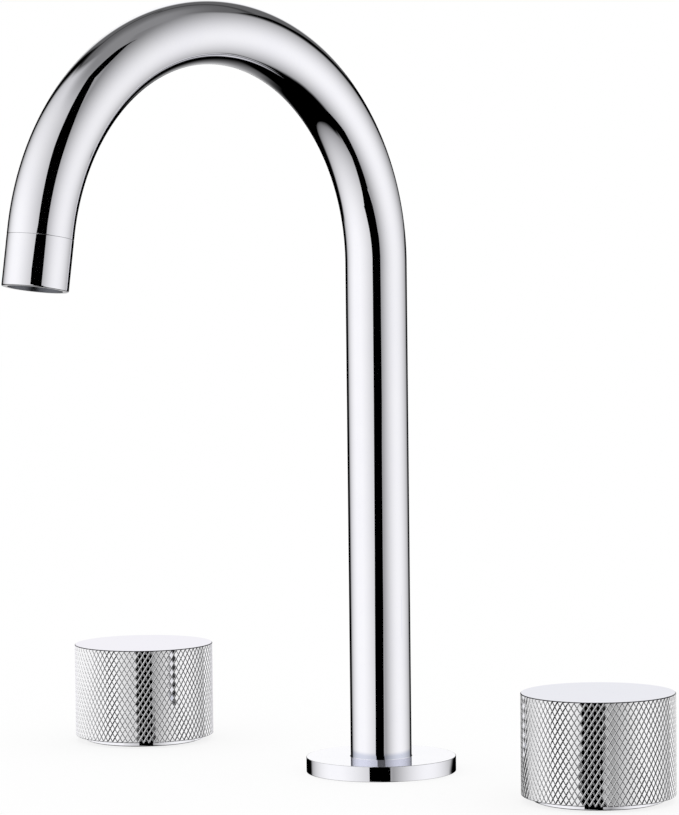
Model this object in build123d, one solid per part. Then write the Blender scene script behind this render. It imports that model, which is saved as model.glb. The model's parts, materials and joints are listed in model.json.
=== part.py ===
from build123d import *
import math
import os

os.makedirs("parts", exist_ok=True)

# A widespread basin faucet for three deck holes: a gooseneck spout that swivels, and a hot and a cold
# handle that turn a quarter turn. Millimetres. The deck's top is z = 0, the origin is the middle of the
# spout's foot, the spout reaches along -Y, the cold handle is at +X and the hot one at -X.

# The deck and the places of the three holes
deck_thickness = 25.0
deck_hole_diameter = 32.0
hot_handle_distance = 125.0
cold_handle_distance = 101.6

# Gooseneck tube
tube_diameter = 22.0
tube_wall = 1.5
riser_height = 183.0
bend_radius = 80.0
bend_angle = 171.0
tube_end_run = 1.7
nozzle_length = 17.0

# Spout foot. The flange covers the collar, the gasket round it and a rim: 54 across in all.
flange_gasket_width = 5.48
flange_gasket_rim = 2.5
flange_thickness = 5.5
flange_edge = 0.3
swivel_washer_thickness = 0.8
swivel_shoulder = 0.45
solder_length = 12.0
swivel_stem_wall = 3.5
swivel_depth = 22.0
swivel_tail = 5.0
swivel_seal_depths = (8.0, 14.0)
swivel_seal_groove_depth = 1.6
swivel_seal_groove_width = 2.2
snap_ring_thickness = 1.2
snap_ring_groove_depth = 1.2
snap_ring_overhang = 1.1
snap_ring_gap_angle = 40.0

# Threaded shanks and what clamps them to the deck
collar_overlap = 3.0
collar_height = 3.0
gasket_thickness = 1.5
shank_diameter = 28.0
thread_chamfer = 1.0
rubber_washer_thickness = 3.0
steel_washer_thickness = 1.5
washer_width = 7.75
mounting_nut_wall = 3.95
mounting_nut_height = 10.0
thread_past_nut = 4.5

# Lower end of the spout's shank, and the tee that joins the two hoses
spout_shank_past_nut = 16.5
outlet_chamber_step = 1.45
outlet_neck_length = 6.0
half_inch_thread_diameter = 20.955
half_inch_thread_length = 12.0
half_inch_bore = 14.0
tee_washer_thickness = 2.0
tee_lip_thickness = 1.5
tee_nut_wall = 2.97
tee_nut_lip = 2.0
tee_nut_gap = 1.0
tee_tail_diameter = 16.0
tee_tail_length = 8.0
tee_body_diameter = 18.0
tee_body_length = 28.0
tee_bore = 9.0

# Hose ports on the tee and on the valves
port_thread_diameter = 14.29
port_thread_length = 12.0
port_hex_flats = 17.0
port_hex_length = 4.0
port_bore = 6.4

# Handle knobs. Each clears its base ring by a gap, which makes it 53 across.
knob_ring_gap = 1.0
knob_height = 35.0
knob_lift = 2.0
knob_wall = 3.0
knob_top = 3.0
knob_edge = 0.3

# Base ring under each knob. It covers the collar, the gasket round it and a rim: 45 across in all.
base_gasket_width = 2.48
base_ring_cover = 2.0
base_ring_rim = 1.0
base_ring_edge = 0.3
base_gasket_proud = 0.3

# Valve bodies
valve_neck_height = 13.0
valve_neck_wall = 3.0
valve_chamber_depth = 16.0
valve_inlet_bore = 8.0
port_block_step = 0.3
port_block_length = 18.0
outlet_channel_diameter = 3.2
outlet_channel_margin = 0.2
outlet_channel_angles = (-24.0, 0.0, 24.0)
outlet_hole_diameter = 10.0
outlet_hole_depth = 4.8
outlet_nipple_root_length = 3.6
outlet_face_depth = 0.7
outlet_face_margin = 0.5

# Ceramic cartridges. The discs set the cartridge's width, and that sets the valve's chamber.
cartridge_hex_flats = 24.0
cartridge_hex_height = 5.0
cartridge_seal_groove_depth = 1.35
cartridge_seal_groove_width = 2.0
cartridge_thick_depth = 1.0
cartridge_slim_wall = 2.0
cartridge_side_gap = 1.5
cartridge_end_gap = 1.0
disc_diameter = 14.7
disc_thickness = 3.0
disc_side_clearance = 0.15
disc_port_inner_radius = 2.0
disc_port_rim = 1.35
disc_port_angle = 70.0
disc_port_depth = 1.8
disc_ear_reach = 1.3
disc_ear_width = 3.0
seat_seal_thickness = 1.5
seat_seal_width = 2.85
cartridge_window_width = 7.0

# Stems
stem_diameter = 8.0
stem_foot_thickness = 3.0
stem_tongue_width = 2.0
stem_tongue_length = 10.0
stem_tongue_depth = 1.0
stem_stop_reach = 1.75
stem_stop_angle = 40.0
stem_turn = 90.0
stem_stop_play_angle = 1.0
stem_seal_heights = (4.5, 9.0)
stem_seal_groove_depth = 1.1
stem_seal_groove_width = 1.7
stem_clip_thickness = 1.0
stem_clip_overhang = 2.0
stem_clip_groove_depth = 0.8
stem_clip_gap_angle = 70.0
spline_length = 8.0
spline_teeth = 20
spline_depth = 0.5

# Adapters that carry the knobs on the stems
adapter_lift = 2.0
adapter_spline_roof = 1.0
adapter_pocket_diameter = 9.0
adapter_pocket_rim = 3.0
adapter_pocket_roof = 3.0
adapter_pockets = 6
set_screw_diameter = 4.0
set_screw_length = 15.0
set_screw_height = 3.0
set_screw_socket_flats = 2.0
set_screw_socket_depth = 2.5
set_screw_access_diameter = 5.0

# Aerator in the nozzle
nozzle_seam = 0.15
nozzle_lip_wall = 2.0
nozzle_lip_edge = 0.4
nozzle_spigot_length = 5.0
nozzle_spigot_wall = 1.3
nozzle_spigot_play = 0.2
aerator_washer_thickness = 1.5
aerator_recess = 2.0
aerator_wall = 1.3
aerator_lip = 0.8
aerator_lip_reach = 0.6
aerator_sleeve_wall = 0.8
aerator_sleeve_length = 4.4
aerator_grid_thickness = 2.0
aerator_grid_cell = 1.9
aerator_grid_web = 0.35
aerator_grid_rim = 1.0
aerator_screen_thickness = 0.5
aerator_screen_hole = 0.9
aerator_screen_pitch = 1.6
flow_disc_thickness = 2.0
flow_disc_holes = 12
flow_disc_hole_diameter = 1.6
flow_disc_hole_radius = 5.6

# Fits
running_clearance = 0.05
seat_clearance = 0.02
thread_clearance = 0.05
flange_clearance = 0.10
washer_clearance = 0.25
seal_clearance = 0.03
cut_overrun = 1.0

# Radii and heights that several pieces share
tube_radius = tube_diameter / 2
tube_bore_radius = tube_radius - tube_wall
shank_radius = shank_diameter / 2
collar_radius = deck_hole_diameter / 2 + collar_overlap
gasket_bore_radius = collar_radius + seat_clearance
flange_gasket_radius = gasket_bore_radius + flange_gasket_width
flange_radius = flange_gasket_radius + flange_gasket_rim
base_gasket_radius = gasket_bore_radius + base_gasket_width
base_ring_radius = base_gasket_radius + base_ring_rim
tube_foot = collar_height + swivel_washer_thickness + running_clearance
swivel_bore_radius = tube_bore_radius - swivel_shoulder
swivel_stem_radius = swivel_bore_radius - running_clearance
rubber_washer_top = -deck_thickness
steel_washer_top = rubber_washer_top - rubber_washer_thickness
nut_top = steel_washer_top - steel_washer_thickness
nut_bottom = nut_top - mounting_nut_height
half_inch_radius = half_inch_thread_diameter / 2
port_thread_radius = port_thread_diameter / 2
knob_bore_radius = base_ring_radius + knob_ring_gap
knob_radius = knob_bore_radius + knob_wall
knob_ceiling = knob_lift + knob_height - knob_top
base_ring_top = collar_height + base_ring_cover
disc_radius = disc_diameter / 2
disc_room_radius = disc_radius + disc_side_clearance
cartridge_slim_radius = disc_room_radius + cartridge_slim_wall
valve_chamber_radius = cartridge_slim_radius + cartridge_side_gap
valve_neck_radius = valve_chamber_radius + valve_neck_wall
port_block_radius = shank_radius - thread_chamfer - port_block_step
outlet_face_radius = port_block_radius - outlet_face_depth
thread_end = nut_bottom - thread_past_nut
port_block_end = thread_end - port_block_length
port_height = (thread_end + port_block_end) / 2
chamber_floor = -valve_chamber_depth
lower_disc_bottom = chamber_floor + seat_seal_thickness
upper_disc_bottom = lower_disc_bottom + disc_thickness
stem_foot_bottom = upper_disc_bottom + disc_thickness
stem_foot_top = stem_foot_bottom + stem_foot_thickness
disc_port_outer_radius = disc_radius - disc_port_rim
stem_stop_inner_radius = disc_radius - stem_stop_reach
cartridge_top = valve_neck_height + cartridge_hex_height
stem_radius = stem_diameter / 2
stem_bore_radius = stem_radius + running_clearance
stem_clip_bottom = cartridge_top + running_clearance
adapter_bottom = cartridge_top + adapter_lift
stem_top = knob_ceiling - adapter_spline_roof
spline_bottom = stem_top - spline_length
set_screw_axis = adapter_bottom + set_screw_height

ON_END = (Align.CENTER, Align.CENTER, Align.MIN)


def turned(*outline):
    """A solid turned about Z from the (radius, height) points of its half section."""
    return revolve(Plane.XZ * make_face(Polyline(*outline, close=True)), Axis.Z)


def rod(radius, bottom, top):
    """A round bar on the Z axis between two heights."""
    return Pos(0, 0, bottom) * Cylinder(radius, top - bottom, align=ON_END)


def ring(inner_radius, outer_radius, bottom, top):
    """A flat ring on the Z axis between two heights."""
    return turned((inner_radius, bottom), (outer_radius, bottom), (outer_radius, top), (inner_radius, top))


def ring_sector(inner_radius, outer_radius, bottom, top, start, sweep):
    """Part of a ring that begins at the angle start and runs on by sweep, in degrees."""
    height = top - bottom
    section = Pos(inner_radius, bottom) * Rectangle(outer_radius - inner_radius, height, align=Align.MIN)
    return Rot(0, 0, start) * revolve(Plane.XZ * section, Axis.Z, sweep)


def polar(radius, angle):
    """The point on the XY plane at a radius and an angle in degrees."""
    return (radius * math.cos(math.radians(angle)), radius * math.sin(math.radians(angle)))


def hex_bar(across_flats, bottom, top):
    """A hexagonal bar on the Z axis between two heights."""
    section = RegularPolygon(across_flats / 2, 6, major_radius=False)
    return extrude(Plane.XY.offset(bottom) * section, top - bottom)


def hex_nut(across_flats, bore_radius, bottom, top):
    """A hexagonal nut whose corners are turned off at both ends."""
    flat_radius = across_flats / 2
    corner_radius = flat_radius / math.cos(math.radians(30))
    bevel = (corner_radius - flat_radius) / math.sqrt(3)
    barrel = turned(
        (bore_radius, bottom),
        (flat_radius, bottom),
        (corner_radius, bottom + bevel),
        (corner_radius, top - bevel),
        (flat_radius, top),
        (bore_radius, top),
    )
    return hex_bar(across_flats, bottom, top) & barrel


def o_ring(floor_radius, bore_radius, height):
    """An O-ring that fills the room between a groove's floor and the bore round it."""
    section = (bore_radius - floor_radius) / 2 - seal_clearance
    return Pos(0, 0, height) * Torus((bore_radius + floor_radius) / 2, section)


def groove(floor_radius, outer_radius, middle, width):
    """What is cut away for a groove round a stem."""
    return ring(floor_radius, outer_radius + cut_overrun, middle - width / 2, middle + width / 2)


def spline_section(tip_radius, root_radius):
    """The toothed outline of the stem's top, with straight flanks."""
    pitch = 360 / spline_teeth
    flank_shares = ((0.0, root_radius), (0.3, root_radius), (0.5, tip_radius), (0.8, tip_radius))
    points = [
        polar(radius, pitch * (tooth + share))
        for tooth in range(spline_teeth)
        for share, radius in flank_shares
    ]
    return make_face(Polyline(*points, close=True))


# Gooseneck: a riser, then a bend in the YZ plane round a centre bend_radius in front of the riser, and a
# short straight run to the nozzle's seam
bend_y = -bend_radius
bend_mid_angle = math.radians(bend_angle / 2)
bend_end_angle = math.radians(bend_angle)
bend_start = (0, 0, riser_height)
bend_middle = (
    0,
    bend_y + bend_radius * math.cos(bend_mid_angle),
    riser_height + bend_radius * math.sin(bend_mid_angle),
)
bend_end = (
    0,
    bend_y + bend_radius * math.cos(bend_end_angle),
    riser_height + bend_radius * math.sin(bend_end_angle),
)
nozzle_direction = (0, -math.sin(bend_end_angle), math.cos(bend_end_angle))
tube_end = tuple(place + tube_end_run * share for place, share in zip(bend_end, nozzle_direction))
nozzle_frame = Plane(origin=tube_end, x_dir=(1, 0, 0), z_dir=nozzle_direction).location


def make_spout_tube():
    bend = ThreePointArc(bend_start, bend_middle, bend_end)
    path = Line((0, 0, tube_foot), bend_start) + bend + Line(bend_end, tube_end)
    section = Circle(tube_radius) - Circle(tube_bore_radius)
    return sweep(Plane.XY.offset(tube_foot) * section, path=path)


# Nozzle pieces, turned about Z with the tube's end at height 0 and the outlet at nozzle_length
spigot_radius = tube_bore_radius - nozzle_spigot_play
spigot_bore_radius = spigot_radius - nozzle_spigot_wall
aerator_bore_radius = tube_radius - nozzle_lip_wall
aerator_radius = aerator_bore_radius - thread_clearance
stack_radius = aerator_radius - aerator_wall - seat_clearance
aerator_bottom = nozzle_length - aerator_recess
grid_bottom = aerator_bottom - aerator_lip
grid_top = grid_bottom - aerator_grid_thickness
flow_disc_bottom = grid_top - aerator_sleeve_length
flow_disc_top = flow_disc_bottom - flow_disc_thickness
aerator_top = flow_disc_top - aerator_screen_thickness
aerator_seat_depth = aerator_top - aerator_washer_thickness


def make_nozzle_shell():
    return turned(
        (spigot_bore_radius, -nozzle_spigot_length),
        (spigot_radius, -nozzle_spigot_length),
        (spigot_radius, 0),
        (tube_radius - nozzle_seam, 0),
        (tube_radius, nozzle_seam),
        (tube_radius, nozzle_length - nozzle_lip_edge),
        (tube_radius - nozzle_lip_edge, nozzle_length),
        (aerator_bore_radius, nozzle_length),
        (aerator_bore_radius, aerator_seat_depth),
        (spigot_bore_radius, aerator_seat_depth),
    )


def make_aerator_washer():
    outer_radius = aerator_bore_radius - seal_clearance
    return ring(spigot_bore_radius, outer_radius, aerator_seat_depth, aerator_top)


def make_aerator_housing():
    room_radius = aerator_radius - aerator_wall
    lip_radius = room_radius - aerator_lip_reach
    return turned(
        (room_radius, aerator_top),
        (aerator_radius, aerator_top),
        (aerator_radius, aerator_bottom),
        (lip_radius, aerator_bottom),
        (lip_radius, grid_bottom),
        (room_radius, grid_bottom),
    )


def honeycomb_places(pitch, reach):
    """The centres of a triangular lattice that lie within reach of the axis."""
    rows = math.ceil(reach / pitch) + 1
    places = []
    for row in range(-rows, rows + 1):
        for column in range(-rows, rows + 1):
            place = (pitch * (column + row / 2), pitch * row * math.sqrt(3) / 2)
            if math.hypot(*place) <= reach:
                places.append(place)
    return places


def make_aerator_grid():
    pitch = aerator_grid_cell + aerator_grid_web
    reach = stack_radius - aerator_grid_rim - aerator_grid_cell / math.sqrt(3)
    cell = Rot(0, 0, 30) * RegularPolygon(aerator_grid_cell / 2, 6, major_radius=False)
    plate = Circle(stack_radius) - [Pos(*place) * cell for place in honeycomb_places(pitch, reach)]
    return extrude(Plane.XY.offset(grid_top) * plate, aerator_grid_thickness)


def make_aerator_sleeve():
    return ring(stack_radius - aerator_sleeve_wall, stack_radius, flow_disc_bottom, grid_top)


def make_flow_disc():
    step = 360 / flow_disc_holes
    holes = [
        Pos(*polar(flow_disc_hole_radius, index * step)) * Circle(flow_disc_hole_diameter / 2)
        for index in range(flow_disc_holes)
    ]
    plate = Circle(stack_radius) - holes
    return extrude(Plane.XY.offset(flow_disc_top) * plate, flow_disc_thickness)


def make_aerator_screen():
    reach = stack_radius - aerator_grid_rim - aerator_screen_hole / 2
    hole = Circle(aerator_screen_hole / 2)
    holes = [Pos(*place) * hole for place in honeycomb_places(aerator_screen_pitch, reach)]
    plate = Circle(stack_radius) - holes
    return extrude(Plane.XY.offset(aerator_top) * plate, aerator_screen_thickness)


# Spout foot: the tube's stem turns in the shank, on a washer that lies on the shank's collar
swivel_stem_end = -swivel_depth - swivel_tail
swivel_groove_floor = swivel_stem_radius - swivel_seal_groove_depth
snap_groove_floor = swivel_stem_radius - snap_ring_groove_depth
snap_ring_middle = -swivel_depth - running_clearance - snap_ring_thickness / 2
spout_thread_end = nut_bottom - spout_shank_past_nut
spout_shank_end = spout_thread_end - half_inch_thread_length


def make_spout_flange():
    bore_radius = tube_radius + flange_clearance
    collar_room_radius = collar_radius + seat_clearance
    gasket_room_radius = flange_gasket_radius + seat_clearance
    return turned(
        (bore_radius, collar_height),
        (collar_room_radius, collar_height),
        (collar_room_radius, gasket_thickness),
        (gasket_room_radius, gasket_thickness),
        (gasket_room_radius, 0),
        (flange_radius, 0),
        (flange_radius, flange_thickness - flange_edge),
        (flange_radius - flange_edge, flange_thickness),
        (bore_radius, flange_thickness),
    )


def make_spout_gasket():
    return ring(gasket_bore_radius, flange_gasket_radius, 0, gasket_thickness)


def make_spout_shank():
    chamber_radius = swivel_bore_radius + outlet_chamber_step
    bore_radius = half_inch_bore / 2
    chamber_end = spout_thread_end + outlet_neck_length
    return turned(
        (swivel_bore_radius, collar_height),
        (collar_radius, collar_height),
        (collar_radius, 0),
        (shank_radius, 0),
        (shank_radius, spout_thread_end + thread_chamfer),
        (shank_radius - thread_chamfer, spout_thread_end),
        (half_inch_radius, spout_thread_end),
        (half_inch_radius, spout_shank_end + thread_chamfer),
        (half_inch_radius - thread_chamfer, spout_shank_end),
        (bore_radius, spout_shank_end),
        (bore_radius, chamber_end),
        (chamber_radius, chamber_end),
        (chamber_radius, -swivel_depth),
        (swivel_bore_radius, -swivel_depth),
    )


def make_swivel_washer():
    inner_radius = swivel_stem_radius + running_clearance
    return ring(inner_radius, tube_radius, collar_height, collar_height + swivel_washer_thickness)


def make_swivel_stem():
    bore_radius = swivel_stem_radius - swivel_stem_wall
    solder_radius = tube_bore_radius - seat_clearance
    solder_top = tube_foot + solder_length
    stem = turned(
        (bore_radius, swivel_stem_end),
        (swivel_stem_radius, swivel_stem_end),
        (swivel_stem_radius, tube_foot),
        (solder_radius, tube_foot),
        (solder_radius, solder_top),
        (bore_radius, solder_top),
    )
    for depth in swivel_seal_depths:
        stem -= groove(swivel_groove_floor, swivel_stem_radius, -depth, swivel_seal_groove_width)
    snap_groove_width = snap_ring_thickness + 2 * seat_clearance
    return stem - groove(snap_groove_floor, swivel_stem_radius, snap_ring_middle, snap_groove_width)


def make_swivel_o_rings():
    rings = [o_ring(swivel_groove_floor, swivel_bore_radius, -depth) for depth in swivel_seal_depths]
    return Compound(rings)


def make_snap_ring():
    return ring_sector(
        snap_groove_floor + seat_clearance,
        swivel_stem_radius + snap_ring_overhang,
        snap_ring_middle - snap_ring_thickness / 2,
        snap_ring_middle + snap_ring_thickness / 2,
        snap_ring_gap_angle / 2 - 90,
        360 - snap_ring_gap_angle,
    )


# Clamping pieces, alike under each of the three holes
washer_bore_radius = shank_radius + washer_clearance
washer_radius = washer_bore_radius + washer_width


def make_rubber_washer():
    return ring(washer_bore_radius, washer_radius, steel_washer_top, rubber_washer_top)


def make_steel_washer():
    return ring(washer_bore_radius, washer_radius, nut_top, steel_washer_top)


def make_mounting_nut():
    bore_radius = shank_radius + thread_clearance
    return hex_nut(2 * (bore_radius + mounting_nut_wall), bore_radius, nut_bottom, nut_top)


# Tee: its tail is drawn up to the shank's end by a union nut, and its two ports point along X
tee_washer_bottom = spout_shank_end - tee_washer_thickness
tee_lip_bottom = tee_washer_bottom - tee_lip_thickness
tee_lip_radius = half_inch_radius - thread_clearance
tee_nut_bottom = tee_lip_bottom - tee_nut_lip
tee_axis = tee_lip_bottom - tee_tail_length - tee_body_diameter / 2


def make_tee_washer():
    return ring(half_inch_bore / 2, tee_lip_radius, tee_washer_bottom, spout_shank_end)


def make_tee_nut():
    thread_radius = half_inch_radius + thread_clearance
    tail_radius = tee_tail_diameter / 2 + running_clearance
    across_flats = 2 * (thread_radius + tee_nut_wall)
    body = hex_nut(across_flats, tail_radius, tee_nut_bottom, spout_thread_end - tee_nut_gap)
    return body - rod(thread_radius, tee_lip_bottom, spout_thread_end)


def threaded_nipple(thread_start):
    """A hose nipple along Z: a hexagon from height 0, then a male thread from thread_start."""
    thread = turned(
        (0, 0),
        (port_thread_radius, 0),
        (port_thread_radius, thread_start + port_thread_length - thread_chamfer),
        (port_thread_radius - thread_chamfer, thread_start + port_thread_length),
        (0, thread_start + port_thread_length),
    )
    return hex_bar(port_hex_flats, 0, thread_start) + thread


def along_x(distance, height, sense):
    """The frame at a distance along X, at a height, whose Z axis points along +X or -X."""
    return Plane(origin=(sense * distance, 0, height), x_dir=(0, 1, 0), z_dir=(sense, 0, 0)).location


def make_tee_body():
    tail_radius = tee_tail_diameter / 2
    half_length = tee_body_length / 2
    body = along_x(-half_length, tee_axis, 1) * rod(tee_body_diameter / 2, 0, tee_body_length)
    body += turned(
        (0, tee_axis),
        (tail_radius, tee_axis),
        (tail_radius, tee_lip_bottom),
        (tee_lip_radius, tee_lip_bottom),
        (tee_lip_radius, tee_washer_bottom),
        (0, tee_washer_bottom),
    )
    for sense in (-1, 1):
        body += along_x(half_length, tee_axis, sense) * threaded_nipple(port_hex_length)
    reach = half_length + port_hex_length + port_thread_length
    body -= along_x(-reach, tee_axis, 1) * rod(port_bore / 2, -cut_overrun, 2 * reach + cut_overrun)
    return body - rod(tee_bore / 2, tee_axis, tee_washer_bottom + cut_overrun)


# Handle pieces, made about their own axis. The valve's outlet points along X in the sense of outlet_sense,
# and the stem opens by stem_turn in the sense of opening_sense seen from above.
cartridge_thick_radius = valve_chamber_radius - thread_clearance
cartridge_groove_floor = cartridge_thick_radius - cartridge_seal_groove_depth


def make_base_ring():
    neck_room_radius = valve_neck_radius + thread_clearance
    collar_room_radius = collar_radius + seat_clearance
    gasket_room_radius = base_gasket_radius + seat_clearance
    return turned(
        (neck_room_radius, collar_height),
        (collar_room_radius, collar_height),
        (collar_room_radius, gasket_thickness),
        (gasket_room_radius, gasket_thickness),
        (gasket_room_radius, base_gasket_proud),
        (base_ring_radius, base_gasket_proud),
        (base_ring_radius, base_ring_top - base_ring_edge),
        (base_ring_radius - base_ring_edge, base_ring_top),
        (neck_room_radius, base_ring_top),
    )


def make_base_gasket():
    return ring(gasket_bore_radius, base_gasket_radius, 0, gasket_thickness)


def make_valve_body(outlet_sense):
    inlet_end = port_block_end - half_inch_thread_length
    body = turned(
        (valve_inlet_bore / 2, chamber_floor),
        (valve_chamber_radius, chamber_floor),
        (valve_chamber_radius, valve_neck_height),
        (valve_neck_radius, valve_neck_height),
        (valve_neck_radius, collar_height),
        (collar_radius, collar_height),
        (collar_radius, 0),
        (shank_radius, 0),
        (shank_radius, thread_end + thread_chamfer),
        (shank_radius - thread_chamfer, thread_end),
        (port_block_radius, thread_end),
        (port_block_radius, port_block_end),
        (half_inch_radius, port_block_end),
        (half_inch_radius, inlet_end + thread_chamfer),
        (half_inch_radius - thread_chamfer, inlet_end),
        (valve_inlet_bore / 2, inlet_end),
    )
    outlet_angle = 0 if outlet_sense > 0 else 180
    channel_radius = outlet_channel_diameter / 2
    channel_place_radius = valve_chamber_radius - outlet_channel_margin - channel_radius
    for angle in outlet_channel_angles:
        place = polar(channel_place_radius, outlet_angle + angle)
        body -= Pos(*place) * rod(channel_radius, port_height, chamber_floor + cut_overrun)
    hole = rod(outlet_hole_diameter / 2, 0, port_block_radius)
    body -= along_x(outlet_face_radius - outlet_hole_depth, port_height, outlet_sense) * hole
    face_radius = port_hex_flats / math.sqrt(3) + outlet_face_margin
    face = rod(face_radius, 0, port_block_radius)
    return body - along_x(outlet_face_radius, port_height, outlet_sense) * face


def make_outlet_nipple(outlet_sense):
    root_radius = outlet_hole_diameter / 2 - thread_clearance
    length = port_hex_length + port_thread_length
    nipple = threaded_nipple(port_hex_length) + rod(root_radius, -outlet_nipple_root_length, 0)
    nipple -= rod(port_bore / 2, -outlet_nipple_root_length - cut_overrun, length + cut_overrun)
    return along_x(outlet_face_radius, port_height, outlet_sense) * nipple


def make_cartridge_body():
    bottom = chamber_floor + cartridge_end_gap
    body = turned(
        (disc_room_radius, bottom),
        (cartridge_slim_radius, bottom),
        (cartridge_slim_radius, -cartridge_thick_depth),
        (cartridge_thick_radius, -cartridge_thick_depth),
        (cartridge_thick_radius, valve_neck_height),
        (stem_bore_radius, valve_neck_height),
        (stem_bore_radius, stem_foot_top),
        (disc_room_radius, stem_foot_top),
    )
    head = hex_nut(cartridge_hex_flats, stem_bore_radius, valve_neck_height, cartridge_top)
    body += head
    groove_middle = collar_height / 2
    body -= groove(
        cartridge_groove_floor, cartridge_thick_radius, groove_middle, cartridge_seal_groove_width
    )
    window_length = 2 * (cartridge_slim_radius + cut_overrun)
    window = Box(window_length, cartridge_window_width, disc_thickness, align=ON_END)
    body -= Pos(0, 0, upper_disc_bottom) * window
    ear_slot_width = disc_ear_width + 2 * running_clearance
    ear_slot_length = 2 * (disc_radius + disc_ear_reach + running_clearance)
    ear_slot = Box(ear_slot_width, ear_slot_length, upper_disc_bottom - bottom, align=ON_END)
    body -= Pos(0, 0, bottom) * ear_slot
    stop = ring_sector(
        stem_stop_inner_radius,
        disc_room_radius + seat_clearance,
        stem_foot_bottom + running_clearance,
        stem_foot_top,
        -stem_stop_angle / 2,
        stem_stop_angle,
    )
    return body + stop


def make_cartridge_o_ring():
    return o_ring(cartridge_groove_floor, valve_chamber_radius, collar_height / 2)


def make_seat_seal():
    return ring(disc_radius - seat_seal_width, disc_radius, chamber_floor, lower_disc_bottom)


def make_lower_disc():
    disc = rod(disc_radius, lower_disc_bottom, upper_disc_bottom)
    ears = Box(disc_ear_width, 2 * (disc_radius + disc_ear_reach), disc_thickness, align=ON_END)
    disc += Pos(0, 0, lower_disc_bottom) * ears
    port_bottom = lower_disc_bottom - cut_overrun
    port_top = upper_disc_bottom + cut_overrun
    for middle in (0, 180):
        start = middle - disc_port_angle / 2
        disc -= ring_sector(
            disc_port_inner_radius, disc_port_outer_radius, port_bottom, port_top, start, disc_port_angle
        )
    return disc


def make_upper_disc():
    disc = rod(disc_radius, upper_disc_bottom, stem_foot_bottom)
    port_bottom = upper_disc_bottom - cut_overrun
    port_top = upper_disc_bottom + disc_port_depth
    for middle in (90, 270):
        start = middle - disc_port_angle / 2
        disc -= ring_sector(
            disc_port_inner_radius,
            disc_radius + cut_overrun,
            port_bottom,
            port_top,
            start,
            disc_port_angle,
        )
    slot_width = stem_tongue_width + 2 * running_clearance
    slot_length = stem_tongue_length + 2 * running_clearance
    slot_depth = stem_tongue_depth + running_clearance
    slot = Box(slot_length, slot_width, slot_depth + cut_overrun, align=ON_END)
    return disc - Pos(0, 0, stem_foot_bottom - slot_depth) * slot


def make_stem(opening_sense):
    foot_top = stem_foot_top - running_clearance
    notch_play = stem_stop_play_angle
    notch_angle = stem_turn + stem_stop_angle + 2 * notch_play
    closed_side = stem_stop_angle / 2 + notch_play
    notch_start = closed_side - notch_angle if opening_sense > 0 else -closed_side
    stem = turned(
        (0, stem_foot_bottom),
        (disc_radius, stem_foot_bottom),
        (disc_radius, foot_top),
        (stem_radius, foot_top),
        (stem_radius, spline_bottom),
        (0, spline_bottom),
    )
    stem -= ring_sector(
        stem_stop_inner_radius - running_clearance,
        disc_radius + cut_overrun,
        stem_foot_bottom - cut_overrun,
        foot_top + cut_overrun,
        notch_start,
        notch_angle,
    )
    tongue = Box(stem_tongue_length, stem_tongue_width, stem_tongue_depth, align=ON_END)
    stem += Pos(0, 0, stem_foot_bottom - stem_tongue_depth) * tongue
    spline = spline_section(stem_radius, stem_radius - spline_depth)
    stem += extrude(Plane.XY.offset(spline_bottom) * spline, spline_length)
    for height in stem_seal_heights:
        stem -= groove(stem_radius - stem_seal_groove_depth, stem_radius, height, stem_seal_groove_width)
    clip_middle = stem_clip_bottom + stem_clip_thickness / 2
    clip_groove_width = stem_clip_thickness + 2 * seat_clearance
    return stem - groove(stem_radius - stem_clip_groove_depth, stem_radius, clip_middle, clip_groove_width)


def make_stem_o_rings():
    floor_radius = stem_radius - stem_seal_groove_depth
    return Compound([o_ring(floor_radius, stem_bore_radius, height) for height in stem_seal_heights])


def make_stem_clip():
    return ring_sector(
        stem_radius - stem_clip_groove_depth + seat_clearance,
        stem_radius + stem_clip_overhang,
        stem_clip_bottom,
        stem_clip_bottom + stem_clip_thickness,
        stem_clip_gap_angle / 2,
        360 - stem_clip_gap_angle,
    )


def toward_back(distance, height):
    """The frame at a distance behind the handle's axis, at a height, whose Z axis points along +Y."""
    return Plane(origin=(0, distance, height), x_dir=(1, 0, 0), z_dir=(0, 1, 0)).location


def make_knob_shell():
    shell = turned(
        (0, knob_ceiling),
        (knob_bore_radius, knob_ceiling),
        (knob_bore_radius, knob_lift),
        (knob_radius, knob_lift),
        (knob_radius, knob_ceiling + knob_top - knob_edge),
        (knob_radius - knob_edge, knob_ceiling + knob_top),
        (0, knob_ceiling + knob_top),
    )
    access = rod(set_screw_access_diameter / 2, 0, knob_wall + 2 * cut_overrun)
    return shell - toward_back(knob_bore_radius - cut_overrun, set_screw_axis) * access


def make_knob_adapter():
    outer_radius = knob_bore_radius - seat_clearance
    adapter = rod(outer_radius, adapter_bottom, knob_ceiling)
    adapter -= rod(stem_bore_radius, adapter_bottom - cut_overrun, spline_bottom)
    tip_radius = stem_radius + running_clearance
    toothed = spline_section(tip_radius, tip_radius - spline_depth)
    adapter -= extrude(Plane.XY.offset(spline_bottom) * toothed, spline_length)
    pocket_top = knob_ceiling - adapter_pocket_roof
    pocket_radius = adapter_pocket_diameter / 2
    pocket_place_radius = outer_radius - adapter_pocket_rim - pocket_radius
    pocket = rod(pocket_radius, adapter_bottom - cut_overrun, pocket_top)
    step = 360 / adapter_pockets
    for index in range(1, adapter_pockets):
        adapter -= Pos(*polar(pocket_place_radius, 90 + index * step)) * pocket
    screw_hole = rod(set_screw_diameter / 2 + seat_clearance, 0, outer_radius + cut_overrun)
    return adapter - toward_back(0, set_screw_axis) * screw_hole


def make_knob_set_screw():
    tip = stem_radius + seat_clearance
    screw = rod(set_screw_diameter / 2, 0, set_screw_length)
    socket_floor = set_screw_length - set_screw_socket_depth
    screw -= hex_bar(set_screw_socket_flats, socket_floor, set_screw_length + cut_overrun)
    return toward_back(tip, set_screw_axis) * screw


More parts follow.
